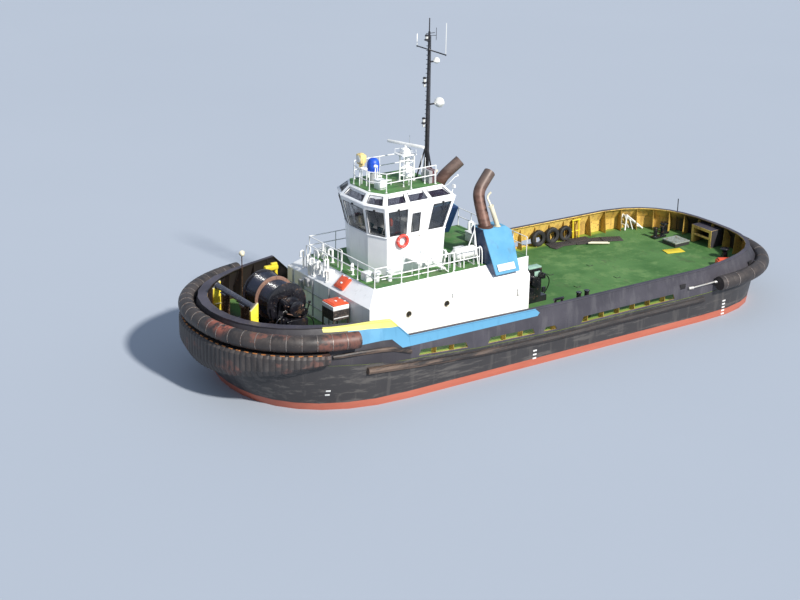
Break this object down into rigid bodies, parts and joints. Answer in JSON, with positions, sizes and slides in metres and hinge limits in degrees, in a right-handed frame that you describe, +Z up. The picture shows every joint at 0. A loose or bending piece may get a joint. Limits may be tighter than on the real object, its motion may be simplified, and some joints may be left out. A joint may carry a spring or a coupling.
{
  "type": "harbour tugboat",
  "caption": "Harbour and escort tug afloat: blunt fendered bow with a big winch, deckhouse with a glazed wheelhouse, leaning funnels, long open aft deck and azimuth thrusters.",
  "frame": {"origin": "amidships on the centreline, at the waterline", "axes": "+X towards the bow, +Y to port, +Z up"},
  "size_m": [36.91, 13.6192, 23.22],
  "materials": {
    "hull_black": "weathered satin paint",
    "bottom_red": "matt bottom paint",
    "bulwark_grey": "weathered satin paint",
    "fender_rubber": "scuffed rubber",
    "house_white": "gloss paint",
    "funnel_blue": "gloss paint",
    "heat_brown": "heat-tarnished steel",
    "window_glass": "tinted glass",
    "gear_grey": "satin paint",
    "seat_black": "black leather",
    "mast_black": "satin paint",
    "deck_yellow": "worn gloss paint",
    "cover_blue": "coated cloth",
    "winch_black": "greasy gloss paint",
    "deck_green": "worn non-slip deck paint",
    "old_tyre": "dusty rubber",
    "propeller_bronze": "polished bronze"
  },
  "bodies": {
    "hull": {"hull": "hull_black", "skeg": "bottom_red", "bulwark_fore": "bulwark_grey", "bulwark_aft": "bulwark_grey", "fender_bow_roll": "fender_rubber", "fender_bow_block": "fender_rubber", "fender_stern_roll": "fender_rubber", "strake_port": "hull_black", "strake_starboard": "hull_black", "house": "house_white", "funnel_port": "funnel_blue", "funnel_starboard": "funnel_blue", "exhaust_port": "heat_brown", "exhaust_starboard": "heat_brown", "wheelhouse_trunk": "house_white", "wheelhouse_frame": "house_white", "wheelhouse_roof": "house_white", "glazing_fore": "window_glass", "glazing_aft": "window_glass", "glazing_sky": "window_glass", "helm_console": "gear_grey", "helm_chair": "seat_black", "boat_deck_rail_port": "house_white", "boat_deck_rail_starboard": "house_white", "boat_deck_rail_front": "house_white", "roof_rail": "house_white", "mast": "mast_black", "radar_pedestal": "house_white", "searchlight_stand": "house_white", "lamp_drum": "cover_blue", "roof_locker": "gear_grey", "liferaft_port": "house_white", "liferaft_starboard": "house_white", "steps_port": "house_white", "steps_starboard": "house_white", "winch_frame": "winch_black", "bow_staple": "deck_yellow", "bitts_fore_port": "deck_yellow", "bitts_fore_starboard": "deck_yellow", "bitts_aft_port": "winch_black", "bitts_aft_starboard": "winch_black", "bitts_stern": "winch_black", "tow_winch_frame": "winch_black", "hatch_coaming": "deck_green", "locker_white": "house_white", "tyre_1": "old_tyre", "tyre_2": "old_tyre", "tyre_3": "old_tyre"},
    "thruster_port": {"thruster_port": "bottom_red"},
    "thruster_starboard": {"thruster_starboard": "bottom_red"},
    "propeller_port": {"propeller_port": "propeller_bronze"},
    "propeller_starboard": {"propeller_starboard": "propeller_bronze"},
    "radar_scanner": {"radar_scanner": "house_white"},
    "searchlight": {"searchlight": "deck_yellow"},
    "winch_drum": {"winch_drum": "winch_black"},
    "tow_winch_drum": {"tow_winch_drum": "winch_black"},
    "wheelhouse_door_port": {"wheelhouse_door_port": "house_white"},
    "wheelhouse_door_starboard": {"wheelhouse_door_starboard": "house_white"},
    "house_door": {"house_door": "house_white"},
    "hatch_lid": {"hatch_lid": "gear_grey"}
  },
  "joints": [
    {"name": "steer_port", "type": "hinge", "parent": "hull", "child": "thruster_port", "pos_m": [-12.6, 2.7, -2.4], "axis": [0, 0, 1], "continuous": true},
    {"name": "steer_starboard", "type": "hinge", "parent": "hull", "child": "thruster_starboard", "pos_m": [-12.6, -2.7, -2.4], "axis": [0, 0, 1], "continuous": true},
    {"name": "spin_port", "type": "hinge", "parent": "thruster_port", "child": "propeller_port", "pos_m": [-12.6, 2.7, -3.9], "axis": [1, 0, 0], "continuous": true},
    {"name": "spin_starboard", "type": "hinge", "parent": "thruster_starboard", "child": "propeller_starboard", "pos_m": [-12.6, -2.7, -3.9], "axis": [1, 0, 0], "continuous": true},
    {"name": "radar_turn", "type": "hinge", "parent": "hull", "child": "radar_scanner", "pos_m": [5.78, 0, 11.24], "axis": [0, 0, 1], "continuous": true},
    {"name": "searchlight_pan", "type": "hinge", "parent": "hull", "child": "searchlight", "pos_m": [8.38, -0.3, 10.5], "axis": [0, 0, 1], "range_deg": [-170, 170]},
    {"name": "winch_turn", "type": "hinge", "parent": "hull", "child": "winch_drum", "pos_m": [13.8, 0, 4.45], "axis": [0, 1, 0], "continuous": true},
    {"name": "tow_winch_turn", "type": "hinge", "parent": "hull", "child": "tow_winch_drum", "pos_m": [-1.7, 0, 2.95], "axis": [0, 1, 0], "continuous": true},
    {"name": "wheelhouse_door_port_hinge", "type": "hinge", "parent": "hull", "child": "wheelhouse_door_port", "pos_m": [6.8997, 2.21, 7.3], "axis": [0, 0, -1], "range_deg": [0, 90]},
    {"name": "wheelhouse_door_starboard_hinge", "type": "hinge", "parent": "hull", "child": "wheelhouse_door_starboard", "pos_m": [6.8997, -2.21, 7.3], "axis": [0, 0, 1], "range_deg": [0, 90]},
    {"name": "house_door_hinge", "type": "hinge", "parent": "hull", "child": "house_door", "pos_m": [0.3, 2.8497, 2.8], "axis": [0, 0, -1], "range_deg": [0, 110]},
    {"name": "hatch_hinge", "type": "hinge", "parent": "hull", "child": "hatch_lid", "pos_m": [-14.78, -1.225, 2.0568], "axis": [0, 1, 0], "range_deg": [0, 100]}
  ]
}
